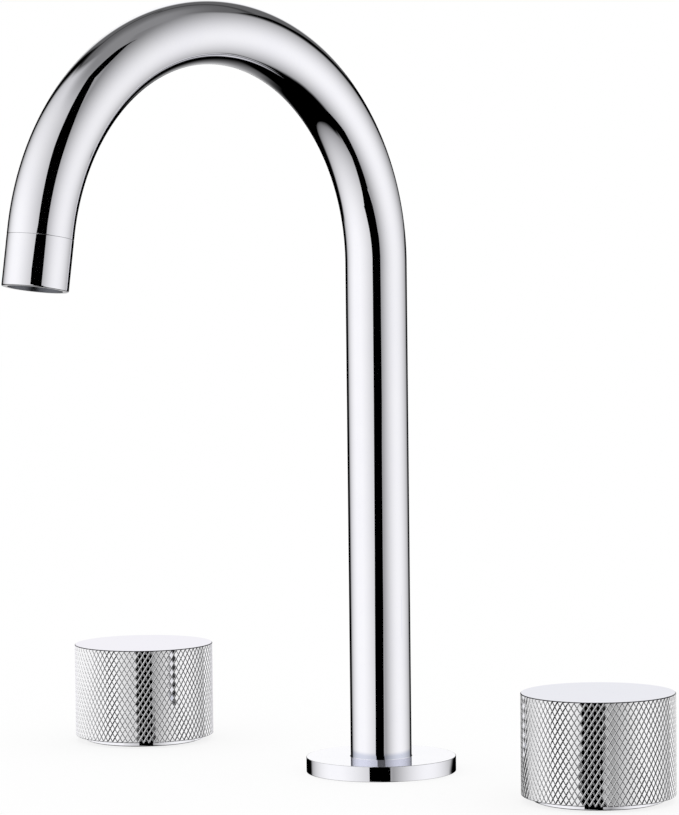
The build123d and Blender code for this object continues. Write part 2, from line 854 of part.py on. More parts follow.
def handle_pieces(outlet_sense, opening_sense):
    """Each piece of one handle about its own axis, by its name without the side."""
    return {
        "base_ring": make_base_ring(),
        "base_gasket": make_base_gasket(),
        "valve_body": make_valve_body(outlet_sense),
        "outlet_nipple": make_outlet_nipple(outlet_sense),
        "rubber_washer": make_rubber_washer(),
        "steel_washer": make_steel_washer(),
        "mounting_nut": make_mounting_nut(),
        "cartridge_body": make_cartridge_body(),
        "cartridge_o_ring": make_cartridge_o_ring(),
        "seat_seal": make_seat_seal(),
        "lower_disc": make_lower_disc(),
        "upper_disc": make_upper_disc(),
        "stem": make_stem(opening_sense),
        "stem_o_rings": make_stem_o_rings(),
        "stem_clip": make_stem_clip(),
        "knob_shell": make_knob_shell(),
        "knob_adapter": make_knob_adapter(),
        "knob_set_screw": make_knob_set_screw(),
    }


spout_pieces = {
    "spout_tube": make_spout_tube(),
    "nozzle_shell": nozzle_frame * make_nozzle_shell(),
    "aerator_washer": nozzle_frame * make_aerator_washer(),
    "aerator_housing": nozzle_frame * make_aerator_housing(),
    "aerator_screen": nozzle_frame * make_aerator_screen(),
    "aerator_flow_disc": nozzle_frame * make_flow_disc(),
    "aerator_sleeve": nozzle_frame * make_aerator_sleeve(),
    "aerator_grid": nozzle_frame * make_aerator_grid(),
    "swivel_stem": make_swivel_stem(),
    "swivel_o_rings": make_swivel_o_rings(),
    "swivel_snap_ring": make_snap_ring(),
    "swivel_washer": make_swivel_washer(),
    "spout_flange": make_spout_flange(),
    "spout_gasket": make_spout_gasket(),
    "spout_shank": make_spout_shank(),
    "spout_rubber_washer": make_rubber_washer(),
    "spout_steel_washer": make_steel_washer(),
    "spout_mounting_nut": make_mounting_nut(),
    "tee_washer": make_tee_washer(),
    "tee_nut": make_tee_nut(),
    "tee_body": make_tee_body(),
}

# Each handle: its name, its place along X, the way its outlet points and the way it opens
handles = (
    ("hot", -hot_handle_distance, 1, 1),
    ("cold", cold_handle_distance, -1, -1),
)

for name, piece in spout_pieces.items():
    export_step(piece, f"parts/{name}.step")

for side, x, outlet_sense, opening_sense in handles:
    for name, piece in handle_pieces(outlet_sense, opening_sense).items():
        export_step(Pos(x, 0, 0) * piece, f"parts/{side}_{name}.step")
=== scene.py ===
import itertools
import json
import math

import bpy
import numpy as np
from mathutils import Matrix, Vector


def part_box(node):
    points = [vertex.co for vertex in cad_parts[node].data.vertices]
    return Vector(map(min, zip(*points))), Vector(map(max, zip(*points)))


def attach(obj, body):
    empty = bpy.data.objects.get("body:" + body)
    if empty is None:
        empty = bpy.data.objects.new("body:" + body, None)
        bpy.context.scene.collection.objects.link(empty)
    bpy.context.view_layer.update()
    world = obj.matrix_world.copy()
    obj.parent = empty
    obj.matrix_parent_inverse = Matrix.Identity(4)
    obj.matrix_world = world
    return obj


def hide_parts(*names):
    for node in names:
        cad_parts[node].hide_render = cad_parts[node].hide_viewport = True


# A widespread basin faucet: a chrome gooseneck spout on a thin round flange, and a hot and a cold knob
# whose drums carry a fine diamond knurl. Metres, the deck's top at z = 0, the spout reaching along -Y.
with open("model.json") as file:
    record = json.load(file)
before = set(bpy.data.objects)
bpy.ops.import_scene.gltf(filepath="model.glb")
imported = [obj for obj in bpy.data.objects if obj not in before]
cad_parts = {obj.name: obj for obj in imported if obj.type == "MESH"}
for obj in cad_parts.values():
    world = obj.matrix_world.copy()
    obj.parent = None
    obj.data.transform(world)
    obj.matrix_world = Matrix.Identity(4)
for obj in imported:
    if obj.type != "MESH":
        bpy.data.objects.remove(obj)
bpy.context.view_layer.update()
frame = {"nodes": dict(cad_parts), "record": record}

MILLIMETRE = 0.001

# Sizes read from the frame
tube_low, tube_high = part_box("spout_tube")
flange_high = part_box("spout_flange")[1]
knob_low, knob_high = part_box("cold_knob_shell")
screw_low, screw_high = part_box("cold_knob_set_screw")
hot_low, hot_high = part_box("hot_knob_shell")

tube_radius = tube_high.x
tube_foot = tube_low.z
flange_radius = flange_high.x
flange_top = flange_high.z
knob_radius = (knob_high.x - knob_low.x) / 2
knob_bottom = knob_low.z
knob_top = knob_high.z
knob_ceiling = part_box("cold_knob_adapter")[1].z
cold_x = (knob_low.x + knob_high.x) / 2
hot_x = (hot_low.x + hot_high.x) / 2
screw_height = (screw_low.z + screw_high.z) / 2

# Gooseneck sizes that the boxes don't give
tube_wall = 1.5 * MILLIMETRE
bend_radius = 80 * MILLIMETRE
bend_angle = math.radians(171)
tube_end_run = 1.7 * MILLIMETRE
nozzle_length = 17.0 * MILLIMETRE
nozzle_lip_wall = 2.0 * MILLIMETRE
nozzle_lip_edge = 0.43 * MILLIMETRE
nozzle_spigot_length = 5.0 * MILLIMETRE
nozzle_spigot_play = 0.2 * MILLIMETRE
nozzle_spigot_wall = 1.3 * MILLIMETRE
aerator_seat_depth = 3.8 * MILLIMETRE
seam_edge = 0.14 * MILLIMETRE
inner_edge = 0.2 * MILLIMETRE
riser_height = tube_high.z - tube_radius - bend_radius
bend_length = bend_radius * bend_angle
tube_end = riser_height + bend_length + tube_end_run

# Flange, base rings and knobs
flange_edge = 0.2 * MILLIMETRE
collar_height = 3.0 * MILLIMETRE
collar_room_radius = 19.02 * MILLIMETRE
gasket_height = 1.5 * MILLIMETRE
flange_gasket_rim = 2.48 * MILLIMETRE
ring_gasket_rim = 0.98 * MILLIMETRE
ring_edge = 0.3 * MILLIMETRE
bore_clearance = 0.1 * MILLIMETRE
neck_clearance = 0.05 * MILLIMETRE
neck_radius = 14.0 * MILLIMETRE
knob_wall = 3.0 * MILLIMETRE
knob_edge = 0.3 * MILLIMETRE
screw_access_radius = 2.5 * MILLIMETRE

# Diamond knurl: diamonds between two crossing sets of grooves, flat in the middle and rolled at the rim.
# The shares tell how far across a diamond its nodes lie: groove, rim, flat, flat, rim. The groove walls
# carry painted shade: the grooves that rise to the right have a painted dark wall and an unpainted bright
# one, and both walls of those that fall to the right get painted shade that is nearly as dark and rougher.
knurl_around = 82
knurl_half_rows = 21
knurl_falling_shares = (0.0, 0.08, 0.11, 0.89, 0.92)
knurl_rising_shares = (0.0, 0.13, 0.16, 0.86, 0.885)
knurl_rim_drop = 0.03 * MILLIMETRE
knurl_groove_depth = 0.2 * MILLIMETRE
# Painted shade on each kind of groove wall, from 0, none, to 1, the knurl's painted dark colour
knurl_painted_dark_wall = 1.0
knurl_bright_wall = 0.0
knurl_painted_dull_wall = 0.9
knurl_sharp_angle = math.radians(24)
turned_sharp_angle = math.radians(32)
sheet_sharp_angle = math.radians(60)

# How finely the smooth pieces are divided
turned_sides = 192
tube_sides = 144
bend_steps = 240
edge_steps = 5
edge_support_share = 0.08
screw_hole_sides = 48


def mesh_of(name, points, faces, sharp_angle):
    """A mesh of points and of face rows, smooth except where faces meet past the sharp angle."""
    mesh = bpy.data.meshes.new(name)
    corners = np.concatenate([rows.ravel() for rows in faces]).astype(np.int32)
    sizes = np.concatenate([np.full(len(rows), rows.shape[1]) for rows in faces]).astype(np.int32)
    starts = np.concatenate([[0], np.cumsum(sizes)[:-1]]).astype(np.int32)
    mesh.vertices.add(len(points))
    mesh.vertices.foreach_set("co", points.astype(np.float32).ravel())
    mesh.loops.add(len(corners))
    mesh.loops.foreach_set("vertex_index", corners)
    mesh.polygons.add(len(sizes))
    mesh.polygons.foreach_set("loop_start", starts)
    mesh.update(calc_edges=True)
    mesh.polygons.foreach_set("use_smooth", np.ones(len(sizes), bool))
    mesh.set_sharp_from_angle(angle=sharp_angle)
    return mesh


def add_piece(name, points, faces, body, nodes, materials, sharp_angle=turned_sharp_angle):
    """A new piece that rides on a body and stands for the frame's nodes of the same place."""
    mesh = mesh_of(name, points, faces, sharp_angle)
    for material in materials:
        mesh.materials.append(material)
    piece = bpy.data.objects.new(name, mesh)
    bpy.context.scene.collection.objects.link(piece)
    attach(piece, body)
    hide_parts(*nodes)
    return piece


def grid_faces(rows, columns):
    """Quads over a grid whose rows and columns both close on themselves."""
    row, column = np.meshgrid(np.arange(rows), np.arange(columns), indexing="ij")
    next_row, next_column = (row + 1) % rows, (column + 1) % columns
    quads = [row * columns + column, row * columns + next_column]
    quads += [next_row * columns + next_column, next_row * columns + column]
    return np.stack([part.ravel() for part in quads], axis=1)


def rounded(corners):
    """The closed section (distance, radius) through corners of (distance, radius, rounding).

    Each corner is an arc that touches both of its sides. It starts and ends at rounding / tan(half the
    corner's angle) from the corner, and a support point just past each end keeps the flats flat."""
    section = []
    places = [np.array(corner[:2]) for corner in corners]
    for index, corner in enumerate(corners):
        here, rounding = places[index], corner[2]
        before, after = places[index - 1] - here, places[(index + 1) % len(corners)] - here
        before, after = before / np.linalg.norm(before), after / np.linalg.norm(after)
        half_angle = math.acos(np.clip(before @ after, -1, 1)) / 2
        if rounding == 0:
            section.append(here)
            continue
        reach = rounding / math.tan(half_angle)
        centre = here + (before + after) / np.linalg.norm(before + after) * rounding / math.sin(half_angle)
        start, end = here + before * reach - centre, here + after * reach - centre
        shares = np.linspace(0, 1, edge_steps + 1)[:, None]
        turn = math.pi - 2 * half_angle
        arc = (np.sin((1 - shares) * turn) * start + np.sin(shares * turn) * end) / math.sin(turn)
        support = edge_support_share * rounding
        section.append(here + before * (reach + support))
        section.extend(centre + arc)
        section.append(here + after * (reach + support))
    return np.array(section)


def upright(x):
    """A straight spine that rises from the deck's top at a place along X."""
    def spine(distance):
        centre = np.stack([np.full_like(distance, x), np.zeros_like(distance), distance], axis=1)
        first = np.tile([1.0, 0.0, 0.0], (len(distance), 1))
        second = np.tile([0.0, 1.0, 0.0], (len(distance), 1))
        return centre, first, second
    return spine


def gooseneck(distance):
    """The spout's own axis: up the riser, round the bend in the YZ plane, then straight on to the outlet.

    Past the riser the bend's angle is (distance - riser) / bend radius, held at its end, and what is left
    over runs along the last direction."""
    bent = np.clip((distance - riser_height) / bend_radius, 0, bend_angle)
    before = np.minimum(distance, riser_height)
    past = np.maximum(distance - riser_height - bend_radius * bend_angle, 0)
    y = bend_radius * (np.cos(bent) - 1) - past * np.sin(bent)
    z = before + bend_radius * np.sin(bent) + past * np.cos(bent)
    centre = np.stack([np.zeros_like(y), y, z], axis=1)
    first = np.tile([1.0, 0.0, 0.0], (len(distance), 1))
    second = np.stack([np.zeros_like(bent), np.cos(bent), np.sin(bent)], axis=1)
    return centre, first, second


def carried(section, spine, sides):
    """The points and quads of a closed (distance, radius) section carried round a spine:
    centre(distance) + radius * (cos(angle) * first + sin(angle) * second)."""
    centre, first, second = spine(section[:, 0])
    angle = np.linspace(0, 2 * np.pi, sides, endpoint=False)[None, :, None]
    outward = np.cos(angle) * first[:, None, :] + np.sin(angle) * second[:, None, :]
    points = centre[:, None, :] + section[:, 1][:, None, None] * outward
    return points.reshape(-1, 3), grid_faces(len(section), sides)


# Haze on every finish: the coarse clouds' noise, the finer noise over it, and where the mask rises
haze_detail = 5.0
haze_roughness = 0.62
haze_fine_scale = 14.0
haze_fine_share = 0.35
haze_mask_span = (0.45, 0.95)

# Chrome plate where it is clear and where it is hazy, and over the knurl's flats and, as painted shade, on
# its groove walls
chrome_colours = ((0.95, 0.947, 0.985), (0.93, 0.927, 0.975))
chrome_haze_size = 55.0
chrome_swell_size = 38.0
chrome_swell_height = 0.008 * MILLIMETRE
knurl_colour_and_painted_shade = ((0.985, 0.985, 0.998), (0.03, 0.03, 0.036))
knurl_roughness = (0.05, 0.25)
knurl_haze_size = 160.0
knurl_haze_share = 0.06

# Turned metals: lathe marks, haze, and the least and most roughness as shares of a metal's own
turning_detail = 3.0
turning_mask_span = (0.35, 0.7)
turning_pitch = 0.45 * MILLIMETRE
turning_depth = 0.012 * MILLIMETRE
turning_share = 0.4
turned_haze_size = 120.0
turned_haze_share = 0.6
turned_roughness_span = (0.75, 1.3)

# Moulded materials
moulded_haze_size = 90.0
moulded_roughness_span = (0.85, 1.15)


def plain_nodes(name):
    """A new material's tree, links and Principled shader."""
    material = bpy.data.materials.new(name)
    material.use_nodes = True
    tree = material.node_tree
    shader = tree.nodes["Principled BSDF"]
    return material, tree, shader


def bare_nodes(name):
    """A new material and its empty tree."""
    material = bpy.data.materials.new(name)
    material.use_nodes = True
    material.node_tree.nodes.clear()
    return material, material.node_tree


def added(tree, shader, other):
    """A node that adds two shader nodes."""
    both = tree.nodes.new("ShaderNodeAddShader")
    tree.links.new(shader.outputs[0], both.inputs[0])
    tree.links.new(other.outputs[0], both.inputs[1])
    return both


def calculate(tree, operation, *values):
    """The result socket of one arithmetic node; each value is a number or another node's socket."""
    node = tree.nodes.new("ShaderNodeMath")
    node.operation = operation
    for socket, value in zip(node.inputs, values):
        feed(tree, socket, value)
    return node.outputs[0]


def feed(tree, socket, value):
    """Sets a socket to a number or a colour, or links another node's socket to it."""
    if isinstance(value, bpy.types.NodeSocket):
        tree.links.new(value, socket)
    else:
        socket.default_value = value


def noise(tree, place, **settings):
    """Noise over a place, with its other inputs set or linked."""
    node = tree.nodes.new("ShaderNodeTexNoise")
    tree.links.new(place, node.inputs["Vector"])
    for name, value in settings.items():
        feed(tree, node.inputs[name], value)
    return node.outputs[0]


def ramp(tree, value, low, high, low_result=0.0, high_result=1.0):
    """A smooth step from one result at low to another at high."""
    node = tree.nodes.new("ShaderNodeMapRange")
    node.interpolation_type = "SMOOTHSTEP"
    for name, number in (("Value", value), ("From Min", low), ("From Max", high),
                         ("To Min", low_result), ("To Max", high_result)):
        feed(tree, node.inputs[name], number)
    return node.outputs["Result"]


def group_of(name, inputs, outputs):
    """An empty node group with its inputs (name, type, value) and outputs (name, type)."""
    group = bpy.data.node_groups.new(name, "ShaderNodeTree")
    for socket_name, kind, value in inputs:
        socket = group.interface.new_socket(socket_name, in_out="INPUT", socket_type=kind)
        if value is not None:
            socket.default_value = value
    for socket_name, kind in outputs:
        group.interface.new_socket(socket_name, in_out="OUTPUT", socket_type=kind)
    return group, group.nodes.new("NodeGroupInput"), group.nodes.new("NodeGroupOutput")


def place_group(tree, group, **values):
    """A copy of a node group in a material, with its own values."""
    node = tree.nodes.new("ShaderNodeGroup")
    node.node_tree = group
    for name, value in values.items():
        feed(tree, node.inputs[name.replace("_", " ").title()], value)
    return node


def make_haze_group():
    """Polishing haze: cloudy noise at one size, broken up by finer noise. Puts out a mask from 0 to 1."""
    inputs = [("Place", "NodeSocketVector", None), ("Size", "NodeSocketFloat", chrome_haze_size)]
    group, start, end = group_of("polishing_haze", inputs, [("Mask", "NodeSocketFloat")])
    place, size = start.outputs["Place"], start.outputs["Size"]
    coarse = noise(group, place, Scale=size, Detail=haze_detail, Roughness=haze_roughness)
    fine = noise(group, place, Scale=calculate(group, "MULTIPLY", size, haze_fine_scale))
    clouds = calculate(group, "ADD", coarse, calculate(group, "MULTIPLY", fine, haze_fine_share))
    group.links.new(ramp(group, clouds, *haze_mask_span), end.inputs["Mask"])
    return group


def make_turning_group():
    """Lathe marks: rings at one pitch along Z and out from the piece's axis, each of uneven depth."""
    inputs = [("Place", "NodeSocketVector", None), ("Pitch", "NodeSocketFloat", turning_pitch)]
    outputs = [("Height", "NodeSocketFloat"), ("Mask", "NodeSocketFloat")]
    group, start, end = group_of("turning_marks", inputs, outputs)
    parts = group.nodes.new("ShaderNodeSeparateXYZ")
    group.links.new(start.outputs["Place"], parts.inputs[0])
    squares = [calculate(group, "POWER", parts.outputs[axis], 2.0) for axis in ("X", "Y")]
    outward = calculate(group, "SQRT", calculate(group, "ADD", *squares))
    along = calculate(group, "ADD", parts.outputs["Z"], outward)
    steps = calculate(group, "DIVIDE", along, start.outputs["Pitch"])
    bands = group.nodes.new("ShaderNodeTexNoise")
    bands.noise_dimensions = "1D"
    bands.inputs["Scale"].default_value = 1.0
    bands.inputs["Detail"].default_value = turning_detail
    group.links.new(steps, bands.inputs["W"])
    group.links.new(bands.outputs[0], end.inputs["Height"])
    group.links.new(ramp(group, bands.outputs[0], *turning_mask_span), end.inputs["Mask"])
    return group


haze_group = make_haze_group()
turning_group = make_turning_group()


def object_place(tree, centre=(0.0, 0.0, 0.0)):
    """The place on the object in its own frame, counted from a centre."""
    place = tree.nodes.new("ShaderNodeTexCoord").outputs["Object"]
    mapping = tree.nodes.new("ShaderNodeMapping")
    mapping.inputs["Location"].default_value = tuple(-value for value in centre)
    tree.links.new(place, mapping.inputs["Vector"])
    return mapping.outputs["Vector"]


def vary(tree, mask, low, high):
    """A value that runs from low to high with a mask."""
    return calculate(tree, "MULTIPLY_ADD", mask, high - low, low)


def tint(tree, mask, low_colour, high_colour):
    """A colour that runs from one to another with a mask."""
    node = tree.nodes.new("ShaderNodeMix")
    node.data_type = "RGBA"
    feed(tree, node.inputs[0], mask)
    node.inputs[6].default_value = (*low_colour, 1.0)
    node.inputs[7].default_value = (*high_colour, 1.0)
    return node.outputs[2]


def dress(tree, shader, mask, colours, roughness, metallic=1.0):
    """Colour and roughness that run from one to another with a mask, on a metal unless told otherwise."""
    shader.inputs["Metallic"].default_value = metallic
    feed(tree, shader.inputs["Base Color"], tint(tree, mask, *colours))
    feed(tree, shader.inputs["Roughness"], vary(tree, mask, *roughness))


def bump(tree, shader, height, distance):
    """Raises a shader's normal by a height."""
    node = tree.nodes.new("ShaderNodeBump")
    node.inputs["Distance"].default_value = distance
    node.inputs["Strength"].default_value = 1.0
    tree.links.new(height, node.inputs["Height"])
    tree.links.new(node.outputs["Normal"], shader.inputs["Normal"])


def make_chrome(name, clear_roughness, hazy_roughness):
    """Bright chrome plate: a cold mirror with a breath of polishing haze and a nearly flat surface."""
    material, tree, shader = plain_nodes(name)
    place = object_place(tree)
    haze = place_group(tree, haze_group, place=place, size=chrome_haze_size).outputs["Mask"]
    dress(tree, shader, haze, chrome_colours, (clear_roughness, hazy_roughness))
    bump(tree, shader, noise(tree, place, Scale=chrome_swell_size, Detail=1.0), chrome_swell_height)
    return material


def make_knurled_chrome():
    """Chrome over the knurl: bright on the diamonds' flats, and darker and rougher with the painted shade
    that the groove attribute gives the groove walls and the top bevel.
    """
    material, tree, shader = plain_nodes("knurled_chrome")
    place = object_place(tree)
    haze = place_group(tree, haze_group, place=place, size=knurl_haze_size).outputs["Mask"]
    # The groove attribute holds each face's painted shade.
    groove = tree.nodes.new("ShaderNodeAttribute")
    groove.attribute_name = "groove"
    haze_share = calculate(tree, "MULTIPLY", haze, knurl_haze_share)
    painted_shade_and_haze = calculate(tree, "MAXIMUM", groove.outputs["Fac"], haze_share)
    dress(tree, shader, painted_shade_and_haze, knurl_colour_and_painted_shade, knurl_roughness)
    return material


def make_turned_metal(name, light, dark, roughness, centre_x):
    """A lathe-turned metal about an upright axis: fine rings, uneven sheen and a little staining."""
    material, tree, shader = plain_nodes(name)
    place = object_place(tree, (centre_x, 0.0, 0.0))
    marks = place_group(tree, turning_group, place=place, pitch=turning_pitch)
    haze = place_group(tree, haze_group, place=place, size=turned_haze_size).outputs["Mask"]
    haze_share = calculate(tree, "MULTIPLY", haze, turned_haze_share)
    shade = calculate(tree, "MULTIPLY_ADD", marks.outputs["Mask"], turning_share, haze_share)
    dress(tree, shader, shade, (light, dark), [share * roughness for share in turned_roughness_span])
    bump(tree, shader, marks.outputs["Height"], turning_depth)
    return material


def make_moulded(name, light, dark, roughness, grain_size, grain_depth):
    """A moulded, non-metal material with a fine even grain and slightly uneven colour."""
    material, tree, shader = plain_nodes(name)
    place = object_place(tree)
    haze = place_group(tree, haze_group, place=place, size=moulded_haze_size).outputs["Mask"]
    grain = noise(tree, place, Scale=1 / (grain_size * MILLIMETRE), Detail=2.0)
    span = [share * roughness for share in moulded_roughness_span]
    dress(tree, shader, haze, (light, dark), span, metallic=0.0)
    bump(tree, shader, grain, grain_depth * MILLIMETRE)
    return material


polished_chrome = make_chrome("polished_chrome", 0.012, 0.03)
lapped_chrome = make_chrome("lapped_chrome", 0.05, 0.07)
knurled_chrome = make_knurled_chrome()

# Moulded pieces, by the finish that the record gives them: light and dark colour, roughness, and the
# grain's size and depth in millimetres
moulded_finishes = {
    "black_rubber": ((0.030, 0.030, 0.032), (0.018, 0.018, 0.020), 0.72, 0.35, 0.03),
    "ceramic": ((0.90, 0.89, 0.86), (0.84, 0.83, 0.79), 0.22, 0.12, 0.004),
    "aerator_plastic": ((0.17, 0.175, 0.185), (0.12, 0.125, 0.132), 0.42, 0.25, 0.012),
    "acetal": ((0.86, 0.86, 0.84), (0.80, 0.80, 0.77), 0.38, 0.3, 0.008),
}
# Turned and rolled metals: light and dark colour, roughness
metal_finishes = {
    "dull_bore": ((0.17, 0.175, 0.195), (0.11, 0.115, 0.13), 0.34),
    "brass": ((0.83, 0.66, 0.34), (0.66, 0.48, 0.22), 0.26),
    "stainless_steel": ((0.66, 0.655, 0.645), (0.50, 0.495, 0.49), 0.30),
}

finish_of_node = {part["node"]: part["material_slot"] for part in frame["record"]["subparts"]}
finishes = {}


def finish_for(node):
    """The material of a frame node, from its slot in the record and the axis that it was turned about."""
    slot = finish_of_node[node]
    if slot == "polished_chrome":
        return polished_chrome
    if slot == "knurled_chrome":
        return knurled_chrome
    if slot in moulded_finishes:
        if slot not in finishes:
            finishes[slot] = make_moulded(slot, *moulded_finishes[slot])
        return finishes[slot]
    side = "hot" if node.startswith("hot_") else "cold" if node.startswith("cold_") else "spout"
    name = f"{slot}_{side}"
    if name not in finishes:
        axis_x = {"hot": hot_x, "cold": cold_x, "spout": 0.0}[side]
        finishes[name] = make_turned_metal(name, *metal_finishes[slot], axis_x)
    return finishes[name]


for node_name, node_object in frame["nodes"].items():
    node_object.data.materials.clear()
    node_object.data.materials.append(finish_for(node_name))
    # The spout's chrome mirrors the studio and its own tube, and nothing else
    node_object.visible_glossy = False


def make_spout_tube():
    """The bent tube: outer wall up to the seam, its rounded end, then the bore back to the foot."""
    bore = tube_radius - tube_wall
    seam = rounded([(tube_foot, tube_radius, inner_edge), (tube_end, tube_radius, seam_edge),
                    (tube_end, bore, inner_edge), (tube_foot, bore, inner_edge)])
    turn = int(np.argmax(seam[:, 0]))
    bend = np.linspace(riser_height, riser_height + bend_length, bend_steps)
    split = int(np.argmax(seam[:, 0] > riser_height))
    outer = np.stack([bend, np.full_like(bend, tube_radius)], axis=1)
    inner = np.stack([bend[::-1], np.full_like(bend, bore)], axis=1)
    back = turn + int(np.argmax(seam[turn:, 0] < riser_height))
    section = np.concatenate([seam[:split], outer, seam[split:back], inner, seam[back:]])
    points, faces = carried(section, gooseneck, tube_sides)
    add_piece("gooseneck_tube", points, [faces], "spout", ["spout_tube"],
              [polished_chrome])


def make_nozzle():
    """The end sleeve past the seam: a spigot up into the tube, and a thin lip round the aerator."""
    top = tube_end
    bottom = top + nozzle_length
    spigot = tube_radius - tube_wall - nozzle_spigot_play
    spigot_bore = spigot - nozzle_spigot_wall
    lip_bore = tube_radius - nozzle_lip_wall
    seat = top + aerator_seat_depth
    section = rounded([
        (top - nozzle_spigot_length, spigot_bore, inner_edge),
        (top - nozzle_spigot_length, spigot, inner_edge),
        (top, spigot, 0), (top, tube_radius, seam_edge), (bottom, tube_radius, nozzle_lip_edge),
        (bottom, lip_bore, inner_edge), (seat, lip_bore, 0), (seat, spigot_bore, inner_edge),
    ])
    points, faces = carried(section, gooseneck, turned_sides)
    bore_metal = make_turned_metal("dull_bore", *metal_finishes["dull_bore"], 0.0)
    piece = add_piece("nozzle_sleeve", points, [faces[:, ::-1]], "spout",
                      ["nozzle_shell"], [polished_chrome, bore_metal])
    in_bore = np.maximum(section[:, 1], np.roll(section[:, 1], -1)) < lip_bore + inner_edge
    piece.data.polygons.foreach_set("material_index", np.repeat(in_bore, turned_sides).astype(np.int32))
    piece.visible_glossy = False


def make_ring_piece(name, node, x, bore, gasket_rim, edge, top_finish=None):
    """A plain turned ring on the deck, hollow below for the threaded part's collar and the gasket. Its top
    faces may have a finish of their own."""
    low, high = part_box(node)
    radius = (high.x - low.x) / 2
    gasket_room = radius - gasket_rim
    section = rounded([
        (collar_height, bore, 0), (collar_height, collar_room_radius, 0),
        (gasket_height, collar_room_radius, 0), (gasket_height, gasket_room, 0),
        (low.z, gasket_room, inner_edge), (low.z, radius, inner_edge),
        (high.z, radius, edge), (high.z, bore, inner_edge),
    ])
    points, faces = carried(section, upright(x), turned_sides)
    piece = add_piece(name, points, [faces[:, ::-1]], "deck_set", [node],
                      [polished_chrome])
    piece.visible_glossy = False
    if top_finish is not None:
        piece.data.materials.append(top_finish)
        on_top = np.minimum(section[:, 0], np.roll(section[:, 0], -1)) > high.z - edge / 2
        index = np.repeat(on_top, turned_sides).astype(np.int32)
        piece.data.polygons.foreach_set("material_index", index)


def knurl_lattice():
    """The knurled wall's nodes as angle, height share and drop, its outward triangles, their painted shade,
    and its bottom and top rows in turning order.

    A place on the wall is u = angle / step + height / pitch and v = angle / step - height / pitch. A groove
    falls to the right wherever u is whole, and rises to the right wherever v is whole. The drop below the
    knob's radius is the sum of what u and v give: nothing on the flat, the rim's drop at the rim, and the
    groove's whole depth at 0 and 1. The first and last rows are half diamonds, cut along their level
    diagonal."""
    falling, rising = np.array(knurl_falling_shares), np.array(knurl_rising_shares)
    drops = np.array([knurl_groove_depth, knurl_rim_drop, 0, 0, knurl_rim_drop])
    parts = len(drops)
    # Painted shade of the walls of the rising and of the falling grooves
    rising_wall_painted_shade = {0: knurl_painted_dark_wall, parts - 1: knurl_bright_wall}
    falling_wall_painted_shade = {0: knurl_painted_dull_wall, parts - 1: knurl_painted_dull_wall}
    row, column = np.meshgrid(np.arange(knurl_half_rows + 1), np.arange(knurl_around), indexing="ij")
    row, column = row.ravel()[:, None], column.ravel()[:, None]
    keys, painted_wall_shade = [], []
    for i, j in itertools.product(range(parts), repeat=2):
        patch = np.array([(i, j), (i, j + 1), (i + 1, j + 1), (i + 1, j)])
        for fold in ((0, 1, 3), (1, 2, 3)) if i + j == parts - 1 and i != j else ((0, 1, 2), (0, 2, 3)):
            corner = patch[list(fold)]
            above = (corner[:, 0] - corner[:, 1]).sum() > 0
            keep = row[:, 0] < knurl_half_rows if above else row[:, 0] > 0
            u = parts * (row[keep] + column[keep]) + corner[None, :, 0]
            v = parts * column[keep] + corner[None, :, 1]
            keys.append(np.stack([u - v, (u + v) % (2 * parts * knurl_around)], axis=-1).reshape(-1, 2))
            painted_wall_shade.append(np.full(len(u), rising_wall_painted_shade.get(j, falling_wall_painted_shade.get(i, 0.0))))
    nodes, index = np.unique(np.concatenate(keys), axis=0, return_inverse=True)
    u, v = (nodes[:, 1] + nodes[:, 0]) // 2, (nodes[:, 1] - nodes[:, 0]) // 2
    drop = np.minimum(drops[u % parts] + drops[v % parts], knurl_groove_depth)
    u, v = u // parts + falling[u % parts], v // parts + rising[v % parts]
    angle = (u + v) * np.pi / knurl_around
    height = (u - v) / knurl_half_rows
    ends = [np.flatnonzero(nodes[:, 0] == level) for level in (0, parts * knurl_half_rows)]
    ends = [end[np.argsort(angle[end])] for end in ends]
    return angle, height, drop, index.reshape(-1, 3), np.concatenate(painted_wall_shade), ends


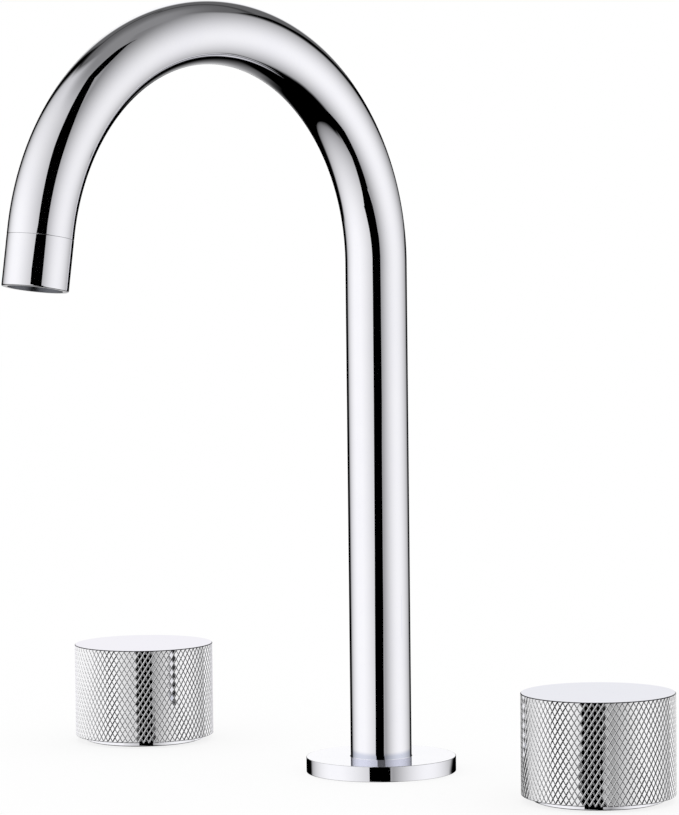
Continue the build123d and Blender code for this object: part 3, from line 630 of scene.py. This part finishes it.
def make_knob(side, x):
    """A drum knob: the knurled wall, a fine bevel to the flat top and to the rim, and the round room
    inside.

    Each ring is the wall's end row carried inwards: x + radius * cos(angle), radius * sin(angle)."""
    angle, height, drop, wall, painted_wall_shade, (bottom_row, top_row) = knurl_lattice()
    wall_bottom, wall_top = knob_bottom + knob_edge, knob_top - knob_edge
    radius = knob_radius - drop
    points = [np.stack([x + radius * np.cos(angle), radius * np.sin(angle),
                        wall_bottom + height * (wall_top - wall_bottom)], axis=1)]
    faces = [wall]
    count = len(angle)

    def ring(row, ring_radius, z):
        nonlocal count
        turn = angle[row]
        points.append(np.stack([x + ring_radius * np.cos(turn), ring_radius * np.sin(turn),
                                np.full(len(turn), z)], axis=1))
        count += len(turn)
        return np.arange(count - len(turn), count)

    def join(lower, upper):
        faces.append(np.stack([lower, np.roll(lower, -1), np.roll(upper, -1), upper], axis=1))

    def close(rim, z, upwards):
        nonlocal count
        points.append(np.array([[x, 0.0, z]]))
        pole = np.full(len(rim), count)
        count += 1
        turned = np.roll(rim, -1)
        faces.append(np.stack([rim, turned, pole] if upwards else [turned, rim, pole], axis=1))

    rim_radius = knob_radius - knob_edge
    top_rim = ring(top_row, rim_radius, knob_top)
    join(top_row, top_rim)
    close(top_rim, knob_top, True)
    bore = knob_radius - knob_wall
    bottom_rim = ring(bottom_row, rim_radius, knob_bottom)
    mouth = ring(bottom_row, bore, knob_bottom)
    corner = ring(bottom_row, bore, knob_ceiling)
    for lower, upper in ((bottom_rim, bottom_row), (mouth, bottom_rim), (corner, mouth)):
        join(lower, upper)
    close(corner, knob_ceiling, False)
    piece = add_piece(f"{side}_knurled_knob", np.concatenate(points), faces, f"{side}_knob",
                      [f"{side}_knob_shell"], [knurled_chrome, polished_chrome],
                      knurl_sharp_angle)
    plain = np.concatenate([np.full(len(rows), rows is not wall) for rows in faces]).astype(np.int32)
    # The top bevel takes the knurled chrome, where the groove value of 1 set below paints it as a dark edge
    # line: painted shade.
    plain[len(wall):len(wall) + len(top_row)] = 0
    piece.data.polygons.foreach_set("material_index", plain)
    # Each face's painted shade: the wall's from the lattice, and 1 everywhere else.
    marks = np.ones(len(plain), np.float32)
    marks[:len(wall)] = painted_wall_shade
    piece.data.attributes.new("groove", "FLOAT", "FACE").data.foreach_set("value", marks)
    drill_screw_hole(piece, x)
    piece.visible_glossy = False


def drill_screw_hole(piece, x):
    """Cuts the set screw's round hole through the knob's back wall, along Y at the screw's height."""
    inner, outer = knob_radius - 2 * knob_wall, knob_radius + knob_wall
    turn = np.linspace(0, 2 * np.pi, screw_hole_sides, endpoint=False)
    across, upward = screw_access_radius * np.cos(turn), screw_access_radius * np.sin(turn)
    rings = [np.stack([x + across, np.full_like(turn, y), screw_height + upward], axis=1)
             for y in (inner, outer)]
    near, far = np.arange(screw_hole_sides), np.arange(screw_hole_sides) + screw_hole_sides
    sides = np.stack([near, far, np.roll(far, -1), np.roll(near, -1)], axis=1)
    mesh = bpy.data.meshes.new("screw_hole_cutter")
    caps = [near.tolist(), far[::-1].tolist()]
    mesh.from_pydata(np.concatenate(rings).tolist(), [], sides.tolist() + caps)
    cutter = bpy.data.objects.new("screw_hole_cutter", mesh)
    bpy.context.scene.collection.objects.link(cutter)
    cut = piece.modifiers.new("screw_hole", "BOOLEAN")
    cut.operation = "DIFFERENCE"
    cut.solver = "EXACT"
    cut.object = cutter
    bpy.context.view_layer.update()
    drilled = bpy.data.meshes.new_from_object(piece.evaluated_get(bpy.context.evaluated_depsgraph_get()))
    piece.modifiers.remove(cut)
    piece.data = drilled
    bpy.data.objects.remove(cutter)


make_spout_tube()
make_nozzle()
make_ring_piece("round_flange", "spout_flange", 0.0, tube_radius + bore_clearance, flange_gasket_rim,
                flange_edge, lapped_chrome)
for side_name, side_x in (("hot", hot_x), ("cold", cold_x)):
    make_ring_piece(f"{side_name}_plain_ring", f"{side_name}_base_ring", side_x,
                    neck_radius + neck_clearance, ring_gasket_rim, ring_edge)
    make_knob(side_name, side_x)


# Camera at the photograph's own place: seen from the front right, a little above the deck
camera_azimuth = math.radians(43.853)
camera_elevation = math.radians(2.955)
camera_roll = math.radians(-0.636)
camera_distance = 1.25713
camera_lens = 154.643
camera_sensor = 36.0
camera_sees = (0.05, 60.0)
camera_aim = np.array([-0.009843, -0.009457, 0.131385])


def make_camera():
    """A long lens on the aim point. Its back axis follows from azimuth and elevation, and the roll turns
    its right and up axes about that."""
    sin_a, cos_a = math.sin(camera_azimuth), math.cos(camera_azimuth)
    back = np.array([sin_a * math.cos(camera_elevation), -cos_a * math.cos(camera_elevation),
                     math.sin(camera_elevation)])
    level = np.array([cos_a, sin_a, 0.0])
    rise = np.cross(back, level)
    right = math.cos(camera_roll) * level + math.sin(camera_roll) * rise
    up = -math.sin(camera_roll) * level + math.cos(camera_roll) * rise
    place = camera_aim + back * camera_distance
    camera = bpy.data.objects.new("camera", bpy.data.cameras.new("camera"))
    camera.data.sensor_width = camera_sensor
    camera.data.lens = camera_lens
    camera.data.clip_start, camera.data.clip_end = camera_sees
    columns = np.stack([right, up, back, place], axis=1)
    camera.matrix_world = Matrix(columns.tolist()).to_4x4()
    bpy.context.scene.collection.objects.link(camera)
    bpy.context.scene.camera = camera


# The studio round the object. Directions are turns from the camera's own side, in degrees, and heights
# above the horizon. The two soft boxes stand left and right of the camera and fade from their middles.
left_box = {"turn": -52.9, "height": 15.2, "strength": 0.969,
            "falloff": 0.559, "upward": -0.19, "aside": -0.329}
right_box = {"turn": 84.8, "height": 0.7, "strength": 0.915,
             "falloff": 1.224, "upward": -0.407, "aside": -0.205}

# Outlines of what the mirrors see, each as steps of (height, turn) or (turn, height), and how wide each
# outline's soft edge is at a height. The soft boxes end at the black flags, and the flags end at the rear
# wall. The flags lean away behind the object higher up.
left_box_edge = ((-14, -129), (-10, -131), (-9.2, -133), (-8.7, -137), (-0.3, -137), (0.5, -153),
                 (3, -153), (8, -150), (16, -149), (23, -144), (30, -142), (38, -138), (45, -136),
                 (50, -130), (55, -126), (64, -120))
left_box_softness = ((-2, 8.0), (1, 3.0), (12, 4.5), (40, 9.0), (56, 16.0), (66, 26.0))
left_flag_edge = ((-10, -152), (-9.5, -165), (-9.2, -178), (-8.8, -178), (-8, -168), (-5, -172),
                  (-1, -178), (3, -178), (7, -172), (10, -163), (12, -163), (17, -159), (22, -157),
                  (28, -155), (40, -151), (45, -150))
flag_softness = ((-12, 9.0), (-8, 4.0))
right_box_edge = ((-47, 130), (-40, 134), (-30, 137), (-20, 139.5), (-10, 139.5), (-9.2, 132), (-8.9, 132),
                  (-8.7, 141), (1, 141), (3, 153), (6, 153), (9, 149), (10, 146), (13, 142), (16, 140),
                  (20, 135), (25, 129), (30, 126), (35, 122), (40, 119), (45, 116))
right_box_softness = ((-11, 10.0), (-9, 15.0), (1, 15.0), (3, 7.0), (12, 8.0), (40, 13.0), (56, 20.0))
right_flag_edge = ((-12, 158), (-9, 178), (6, 178), (8, 172), (11, 165), (16, 155), (20, 151), (25, 147.5),
                   (30, 142), (35, 139), (38, 134), (40, 129), (44, 115))
floor_edge = ((-150, -36), (-132, -50), (-120, -61), (-105, -68.5), (-90, -72.5), (-60, -74.5),
              (-40, -73.5), (-20, -69), (-5, -61), (26, -57), (35, -62.5), (45, -65.5), (60, -68),
              (80, -69), (90, -69.5), (107, -68), (120, -63.5), (132, -56), (142, -47), (147, -40))
floor_softness = 8.0

# The rear wall: a round lit spot, a smaller one below it, a dim lit patch lower still, and a thin dark
# batten above. Over it the grey ceiling fades in between two heights, which change with the turn.
rear_spot = {"turn": -177.5, "height": 20.5, "inner": 9.5, "outer": 19.5}
rear_low_spot = {"turn": 180.0, "height": 11.5, "inner": 5.0, "outer": 8.0}
rear_grey = 0.125
rear_patch = ((-50, 0.0), (-45, 0.11), (-35, 0.20), (-25, 0.34), (-15, 0.50), (-10, 0.56),
              (-1, 0.57), (3, 0.12))
rear_patch_left = ((-180, 1.0), (-173, 0.9), (-166, 0.25), (-160, 0.0))
rear_patch_right = ((157, 0.0), (160, 0.1), (165, 0.3), (170, 0.58), (175, 0.8), (180, 1.0))
batten_height = ((-160, 50), (-150, 49))
batten_right = ((130, 39), (180, 55))
batten_half_width = 4.0
batten_share = 0.45
horizon_softness = 3.0
over_batten_rise = (44.0, 54.0)
ceiling_grey = 0.245
ceiling_low = ((95, 56.0), (112, 44.0), (138, 46.0), (180, 54.0))
ceiling_high = ((90, 82.0), (106, 65.0), (142, 68.0), (180, 84.0))
matte_light = 1.0

# The black card between the two soft boxes, bent round the object: the edges of its upright strip as
# (height, left heading, right heading), and the arch on top of it as (heading, bottom, top)
card_distance = 0.55
card_strip = (
    (-2.40, 45.0, 74.0), (-0.75, 45.0, 74.0), (-0.35, 43.0, 72.0), (-0.13, 30.0, 59.0),
    (-0.085, 25.6, 56.8), (-0.0758, 25.6, 56.8), (-0.0745, 22.8, 54.1), (-0.055, 23.9, 55.0),
    (-0.028, 24.7, 55.7), (0.0, 25.7, 57.1), (0.026, 27.0, 57.2), (0.0525, 28.0, 57.8),
    (0.08, 28.8, 58.2), (0.105, 29.6, 59.8), (0.16, 30.4, 59.9), (0.20, 29.5, 59.3),
    (0.245, 25.5, 54.0), (0.275, 22.5, 53.6), (0.285, 24.2, 53.7), (0.297, 27.3, 54.4),
    (0.31, 27.8, 54.9), (0.354, 28.4, 56.0), (0.418, 28.4, 57.1), (0.496, 27.6, 58.2),
    (0.592, 26.5, 58.2), (0.75, 28.0, 57.0), (1.16, 28.0, 57.0),
)
card_arch = (
    (28.0, 1.16, 1.60), (36.0, 1.16, 1.85), (46.0, 1.16, 2.05), (57.0, 1.16, 2.20), (61.0, 1.16, 2.22),
    (70.0, 1.23, 2.27), (79.0, 1.31, 2.28), (88.0, 1.43, 2.15), (95.0, 1.54, 1.91), (101.0, 1.52, 1.65),
    (105.5, 1.41, 1.42),
)
card_columns = 60
arch_columns = 160


def toward(turn, height):
    """The unit direction at a turn from the camera's side and a height above the horizon, in degrees."""
    heading = camera_azimuth + math.radians(turn)
    level = math.cos(math.radians(height))
    return (math.sin(heading) * level, -math.cos(heading) * level, math.sin(math.radians(height)))


def dot(tree, direction, along):
    """The dot product of a ray's direction and a fixed one."""
    node = tree.nodes.new("ShaderNodeVectorMath")
    node.operation = "DOT_PRODUCT"
    tree.links.new(direction, node.inputs[0])
    node.inputs[1].default_value = along
    return node.outputs["Value"]


def cosine_to(tree, direction, turn, height):
    """The cosine of the angle between a ray's direction and a studio direction, not below zero."""
    return calculate(tree, "MAXIMUM", dot(tree, direction, toward(turn, height)), 0.0)


def soft_box(tree, direction, box):
    """A soft box's light, at most white: its strength times a power of the cosine to its middle, times
    1 + upward * the ray's rise + aside * how far the ray points to the right of the middle."""
    light = calculate(tree, "POWER", cosine_to(tree, direction, box["turn"], box["height"]), box["falloff"])
    right = toward(box["turn"] + 90.0, 0.0)
    slope = (box["aside"] * right[0], box["aside"] * right[1], box["upward"])
    lean = calculate(tree, "ADD", dot(tree, direction, slope), 1.0)
    return calculate(tree, "MINIMUM", product(tree, light, lean, box["strength"]), 1.0)


def stepped(tree, value, steps):
    """A line through steps of (value, result), level before the first and after the last: the first
    result plus each straight step's clamped share."""
    total = steps[0][1]
    for (low, low_result), (high, high_result) in zip(steps, steps[1:]):
        node = tree.nodes.new("ShaderNodeMapRange")
        feed(tree, node.inputs["Value"], value)
        node.inputs["From Min"].default_value = low
        node.inputs["From Max"].default_value = high
        node.inputs["To Min"].default_value = 0.0
        node.inputs["To Max"].default_value = high_result - low_result
        total = calculate(tree, "ADD", node.outputs["Result"], total)
    return total


def past(tree, value, edge, softness):
    """0 where a value lies under an edge and 1 over it, with a smooth step as wide as the softness."""
    half = calculate(tree, "MULTIPLY", softness, 0.5)
    return ramp(tree, value, calculate(tree, "SUBTRACT", edge, half), calculate(tree, "ADD", edge, half))


def product(tree, *values):
    """The product of several numbers or sockets."""
    total = values[0]
    for value in values[1:]:
        total = calculate(tree, "MULTIPLY", total, value)
    return total


def mixed(tree, share, first, second):
    """first where share is 0 and second where it is 1, as numbers."""
    node = tree.nodes.new("ShaderNodeMix")
    feed(tree, node.inputs[0], share)
    feed(tree, node.inputs[2], first)
    feed(tree, node.inputs[3], second)
    return node.outputs[0]


def make_world():
    """The studio as a world. The camera sees white, matte surfaces get an even light, and mirrors see the
    soft boxes, the black flags between them and the rear wall, a grey ceiling and a black floor."""
    world = bpy.data.worlds.new("studio")
    world.use_nodes = True
    bpy.context.scene.world = world
    tree = world.node_tree
    tree.nodes.clear()
    direction = tree.nodes.new("ShaderNodeTexCoord").outputs["Generated"]
    facing = tree.nodes.new("ShaderNodeVectorRotate")
    facing.rotation_type = "Z_AXIS"
    facing.inputs["Angle"].default_value = math.pi / 2 - camera_azimuth
    tree.links.new(direction, facing.inputs["Vector"])
    parts = tree.nodes.new("ShaderNodeSeparateXYZ")
    tree.links.new(facing.outputs["Vector"], parts.inputs[0])
    to_degrees = math.degrees(1)
    turn = product(tree, calculate(tree, "ARCTAN2", parts.outputs["Y"], parts.outputs["X"]), to_degrees)
    height = product(tree, calculate(tree, "ARCSINE", parts.outputs["Z"]), to_degrees)

    def past_outline(edge, softness):
        return past(tree, turn, stepped(tree, height, edge), stepped(tree, height, softness))

    boxes = [soft_box(tree, direction, box) for box in (left_box, right_box)]
    boxes = calculate(tree, "MAXIMUM", *boxes)
    right_of_left = past_outline(left_box_edge, left_box_softness)
    left_of_right = calculate(tree, "SUBTRACT", 1.0, past_outline(right_box_edge, right_box_softness))
    above_floor = past(tree, height, stepped(tree, turn, floor_edge), floor_softness)
    front = product(tree, boxes, right_of_left, left_of_right, above_floor)

    behind_left = calculate(tree, "SUBTRACT", 1.0, past_outline(left_flag_edge, flag_softness))
    behind_right = past_outline(right_flag_edge, flag_softness)
    behind = calculate(tree, "MAXIMUM", behind_left, behind_right)
    spots = []
    for spot in (rear_spot, rear_low_spot):
        cosine = cosine_to(tree, direction, spot["turn"], spot["height"])
        angle = product(tree, calculate(tree, "ARCCOSINE", cosine), to_degrees)
        spots.append(ramp(tree, angle, spot["inner"], spot["outer"], 1.0, rear_grey))
    lit = calculate(tree, "MAXIMUM", *spots)
    above_horizon = ramp(tree, height, -horizon_softness, horizon_softness)
    patch_left = product(tree, behind_left, stepped(tree, turn, rear_patch_left))
    patch_side = calculate(tree, "MAXIMUM", patch_left, stepped(tree, turn, rear_patch_right))
    patch = product(tree, stepped(tree, height, rear_patch), patch_side)
    wall = calculate(tree, "MAXIMUM", product(tree, lit, above_horizon), patch)
    batten = calculate(tree, "MAXIMUM", stepped(tree, turn, batten_height), 0.0)
    batten = mixed(tree, ramp(tree, turn, 0.0, 1.0), batten, stepped(tree, turn, batten_right))
    from_batten = calculate(tree, "ABSOLUTE", calculate(tree, "SUBTRACT", height, batten))
    shade = ramp(tree, from_batten, 0.0, batten_half_width, batten_share, 1.0)
    over_batten = ramp(tree, height, *over_batten_rise)
    back = product(tree, calculate(tree, "MAXIMUM", behind, over_batten), shade)
    rear = product(tree, wall, back, calculate(tree, "SUBTRACT", 1.0, product(tree, front, over_batten)))

    walls = calculate(tree, "MAXIMUM", front, rear)
    overhead = ramp(tree, height, stepped(tree, turn, ceiling_low), stepped(tree, turn, ceiling_high))
    studio = mixed(tree, overhead, walls, ceiling_grey)

    rays = tree.nodes.new("ShaderNodeLightPath")
    mirror_rays = [rays.outputs[kind] for kind in ("Is Glossy Ray", "Is Transmission Ray")]
    mirror_ray = calculate(tree, "MAXIMUM", *mirror_rays)
    seen = mixed(tree, mirror_ray, matte_light, studio)
    seen = mixed(tree, rays.outputs["Is Camera Ray"], seen, 1.0)
    background = tree.nodes.new("ShaderNodeBackground")
    background.inputs["Color"].default_value = (1.0, 1.0, 1.0, 1.0)
    tree.links.new(seen, background.inputs["Strength"])
    output = tree.nodes.new("ShaderNodeOutputWorld")
    tree.links.new(background.outputs[0], output.inputs["Surface"])


def about_axis(x, heading, distance, z):
    """A sheet's places about an upright axis and its quads: x + distance * sin(heading),
    -distance * cos(heading), z."""
    heading, distance, z = np.broadcast_arrays(np.radians(heading), distance, z)
    places = np.stack([x + distance * np.sin(heading), -distance * np.cos(heading), z], axis=-1)
    return places.reshape(-1, 3), sheet_faces(*z.shape)


def sheet_faces(rows, columns):
    """Quads over a grid that is open on all sides."""
    index = np.arange(rows * columns).reshape(rows, columns)
    quads = [index[:-1, :-1], index[:-1, 1:], index[1:, 1:], index[1:, :-1]]
    return np.stack([part.ravel() for part in quads], axis=1)


def stage_for_mirrors(name, mesh, material):
    """Adds a sheet that only mirrors see."""
    mesh.materials.append(material)
    sheet = bpy.data.objects.new(name, mesh)
    bpy.context.scene.collection.objects.link(sheet)
    for seen_by in ("camera", "diffuse", "shadow", "transmission", "volume_scatter"):
        setattr(sheet, f"visible_{seen_by}", False)


def make_card():
    """A black card seen only in reflections: an upright strip between the soft boxes whose top arches over
    the right one, and whose foot leans to the right below the deck."""
    z, left, right = (column[:, None] for column in np.array(card_strip).T)
    across = left + np.linspace(0, 1, card_columns) * (right - left)
    strip, strip_faces = about_axis(0.0, across, card_distance, z)
    outline = np.array(card_arch)
    headings = np.linspace(outline[0, 0], outline[-1, 0], arch_columns)
    rims = np.stack([np.interp(headings, outline[:, 0], outline[:, rim]) for rim in (1, 2)])
    arch, arch_faces = about_axis(0.0, headings, card_distance, rims)
    points = np.concatenate([strip, arch])
    faces = np.concatenate([strip_faces, arch_faces + len(strip)])
    mesh = mesh_of("black_card", points, [faces], sheet_sharp_angle)
    material, tree, shader = plain_nodes("black_card")
    shader.inputs["Base Color"].default_value = (0.0, 0.0, 0.0, 1.0)
    shader.inputs["Roughness"].default_value = 1.0
    shader.inputs["Specular IOR Level"].default_value = 0.0
    stage_for_mirrors("black_card", mesh, material)


# Sheets that only mirrors close to them see. Bounce cards stand behind and beside each knob: each as its
# two turns from the camera's side, its bottom and its glow. A film over the flange paints shade into what
# the riser's foot mirrors, and a film round the foot paints shade and a faint glow into what the flange
# mirrors.
bounce_distance = 40 * MILLIMETRE
bounce_low = -10 * MILLIMETRE
bounce_high = knob_top + 2 * MILLIMETRE
bounce_top = knob_top + 18 * MILLIMETRE
bounce_cards = {
    "hot_back": ((235, 125), bounce_low, (0.92, 0.91, 0.943)),
    "hot_left": ((328, 235), bounce_low, (0.98, 0.98, 0.98)),
    "hot_right": ((125, 104), bounce_low, (0.98, 0.98, 0.98)),
    "cold_back": ((209, 146), bounce_high, (0.855, 0.86, 0.89)),
    "cold_right": ((146, 104), bounce_low, (0.98, 0.98, 0.98)),
}
bounce_reach = 95 * MILLIMETRE
film_lift = 0.05 * MILLIMETRE
film_rise = 0.3 * MILLIMETRE
film_reach = 30 * MILLIMETRE
# The films' painted shade, as the colour share of light that they let through, and the foot film's painted
# glow
flange_film_painted_shade = (0.70, 0.73, 0.81)
foot_film_height = 12 * MILLIMETRE
foot_film_painted_shade = (0.66, 0.68, 0.76)
foot_film_painted_glow = (0.09, 0.09, 0.10)
sheet_sides = 96


def make_sheet(name, points, faces, reach, glow, passed, cleared):
    """A sheet that adds a glow to a colour share of what lies behind it, for mirror rays that meet its
    front within a reach. It clears between two heights."""
    mesh = mesh_of(name, points, [faces], sheet_sharp_angle)
    material, tree = bare_nodes(name)
    parts = tree.nodes.new("ShaderNodeSeparateXYZ")
    tree.links.new(object_place(tree), parts.inputs[0])
    film = tree.nodes.new("ShaderNodeBsdfTransparent")
    share = tint(tree, ramp(tree, parts.outputs["Z"], *cleared), passed, (1.0, 1.0, 1.0))
    tree.links.new(share, film.inputs["Color"])
    light = tree.nodes.new("ShaderNodeEmission")
    light.inputs["Color"].default_value = (*glow, 1.0)
    rays = tree.nodes.new("ShaderNodeLightPath")
    in_reach = calculate(tree, "LESS_THAN", rays.outputs["Ray Length"], reach)
    front = calculate(tree, "SUBTRACT", 1.0, tree.nodes.new("ShaderNodeNewGeometry").outputs["Backfacing"])
    shown = tree.nodes.new("ShaderNodeMixShader")
    tree.links.new(calculate(tree, "MULTIPLY", in_reach, front), shown.inputs[0])
    tree.links.new(tree.nodes.new("ShaderNodeBsdfTransparent").outputs[0], shown.inputs[1])
    tree.links.new(added(tree, film, light).outputs[0], shown.inputs[2])
    output = tree.nodes.new("ShaderNodeOutputMaterial")
    tree.links.new(shown.outputs[0], output.inputs["Surface"])
    stage_for_mirrors(name, mesh, material)


def make_sheets():
    """The bounce cards about the knobs, and the films over the flange and round the riser's foot, which
    paint shade into what mirrors see there.
    """
    round_all = np.linspace(360, 0, sheet_sides)
    dark = (0.0, 0.0, 0.0)
    for name, (turns, bottom, glow) in bounce_cards.items():
        x = hot_x if name.startswith("hot") else cold_x
        heading = math.degrees(camera_azimuth) + np.linspace(*turns, sheet_sides)
        card = about_axis(x, heading, knob_radius + bounce_distance, np.array([[bottom], [bounce_top]]))
        make_sheet(f"{name}_card", *card, bounce_reach, glow, dark, (2 * bounce_top, 3 * bounce_top))
    foot = flange_top + film_lift
    rims = np.array([[tube_radius + bore_clearance], [flange_radius]])
    film = about_axis(0.0, round_all, rims, np.array([[foot], [foot + film_rise]]))
    clearing = (foot + film_rise / 3, foot + film_rise)
    make_sheet("flange_film", *film, film_reach, dark, flange_film_painted_shade, clearing)
    film_top = foot + foot_film_height
    film = about_axis(0.0, round_all[::-1], tube_radius + film_lift, np.array([[foot], [film_top]]))
    clearing = (2 * film_top, 3 * film_top)
    make_sheet("foot_film", *film, film_reach, foot_film_painted_glow, foot_film_painted_shade, clearing)


floor_size = 6.0
floor_drop = 0.1 * MILLIMETRE
floor_shadow_share = 0.2


def make_floor():
    """A plain white floor at the deck's top. It keeps a faint shadow, and mirrors don't see it."""
    half = floor_size / 2
    corners = np.array([[-half, -half], [half, -half], [half, half], [-half, half]])
    points = np.column_stack([corners, np.full(4, -floor_drop)])
    mesh = mesh_of("floor", points, [np.array([[0, 1, 2, 3]])], sheet_sharp_angle)
    material, tree = bare_nodes("floor")
    matte = tree.nodes.new("ShaderNodeBsdfDiffuse")
    matte.inputs["Color"].default_value = (*[floor_shadow_share] * 3, 1.0)
    glow = tree.nodes.new("ShaderNodeEmission")
    glow.inputs["Color"].default_value = (1.0, 1.0, 1.0, 1.0)
    rays = tree.nodes.new("ShaderNodeLightPath")
    tree.links.new(calculate(tree, "MULTIPLY", rays.outputs["Is Camera Ray"], 1 - floor_shadow_share),
                   glow.inputs["Strength"])
    output = tree.nodes.new("ShaderNodeOutputMaterial")
    tree.links.new(added(tree, matte, glow).outputs[0], output.inputs["Surface"])
    mesh.materials.append(material)
    floor = bpy.data.objects.new("floor", mesh)
    bpy.context.scene.collection.objects.link(floor)
    floor.visible_glossy = False


make_camera()
make_world()
make_card()
make_sheets()
make_floor()
bpy.context.scene.view_settings.view_transform = "Standard"
